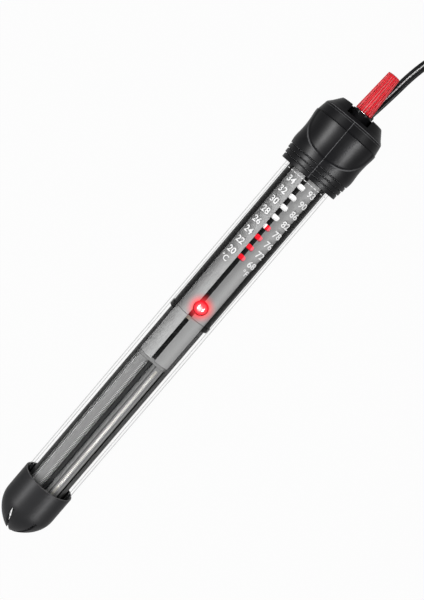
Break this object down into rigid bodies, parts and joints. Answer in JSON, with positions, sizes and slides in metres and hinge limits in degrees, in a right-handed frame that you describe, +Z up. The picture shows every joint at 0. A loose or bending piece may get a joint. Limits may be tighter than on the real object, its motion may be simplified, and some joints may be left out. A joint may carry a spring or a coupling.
{
  "type": "submersible aquarium heater",
  "caption": "Glass-tube aquarium heater with black end cap and head, scale windows behind the glass, red lamp and a red knob that moves the indicator; flat mains cord with plug.",
  "frame": {"origin": "on the ground under the middle of the heater, which lies on its back", "axes": "+X along the heater towards the knob, +Z up, out of the scale, +Y to the left of the scale"},
  "size_m": [0.4484, 0.0432, 0.0339],
  "materials": {
    "glass": "clear polished glass",
    "black_plastic": "satin black moulding",
    "grey_plate": "satin grey",
    "carrier_plastic": "dark matt moulding",
    "red_plastic": "glossy red",
    "white_plastic": "white",
    "lamp_red": "translucent red, lit",
    "steel": "bright",
    "sheath": "grey mica and metal wrap",
    "wire": "resistance wire",
    "brass": "bright",
    "ceramic": "unglazed",
    "board": "brown laminate",
    "rubber": "soft black",
    "tie": "black strap"
  },
  "bodies": {
    "heater": {"glass_tube": "glass", "tip_cap": "black_plastic", "head_cover": "black_plastic", "knob_collar": "black_plastic", "shaft_seal": "rubber", "tube_seal": "rubber", "sealing_stopper": "rubber", "cord_gland": "rubber", "chassis": "carrier_plastic", "scale_plate_left": "grey_plate", "scale_plate_right": "grey_plate", "window_mask": "carrier_plastic", "white_backing": "white_plastic", "heat_shield_left": "grey_plate", "heat_shield_right": "grey_plate", "lamp_lens": "lamp_red", "lamp_holder": "carrier_plastic", "terminal_board": "board", "spindle_bearing": "white_plastic", "fixed_contact": "brass", "bimetal_post": "brass", "magnet": "steel", "insulating_disc": "ceramic", "lead_wire_left": "rubber", "lead_wire_right": "rubber", "element_trough": "carrier_plastic", "ceramic_core_left": "ceramic", "ceramic_core_right": "ceramic", "element_sheath_left": "sheath", "element_sheath_right": "sheath", "heating_coil_left": "wire", "heating_coil_right": "wire", "element_disc_lower": "ceramic", "element_disc_upper": "ceramic", "bottom_cushion": "rubber", "cord": "rubber", "cord_hank": "rubber", "hank_tie": "tie", "plug_body": "rubber", "plug_pins": "brass"},
    "knob": {"knob": "red_plastic", "spindle": "steel"},
    "indicator": {"indicator_strip": "red_plastic", "indicator_nut": "carrier_plastic"},
    "contact_arm": {"bimetal_arm": "steel", "moving_contact": "brass"}
  },
  "joints": [
    {"name": "knob_turn", "type": "hinge", "parent": "heater", "child": "knob", "pos_m": [0.11744, 0, 0.0173], "axis": [-0.9999, 0, -0.0157], "range_deg": [-458.53, 611.37]},
    {"name": "indicator_slide", "type": "slide", "parent": "heater", "child": "indicator", "axis": [0.9999, 0, 0.0157], "range_m": [-0.01759, 0.02345]},
    {"name": "contact_lift", "type": "hinge", "parent": "heater", "child": "contact_arm", "pos_m": [0.07721, 0, 0.01252], "axis": [0, 1, 0], "range_deg": [0, 0.8], "stiffness_Nm_per_rad": 0.2, "springref_deg": -1.15}
  ],
  "couplings": [
    {"joint": "indicator_slide", "follows": "knob_turn", "m_per_rad": 0.0021963}
  ]
}
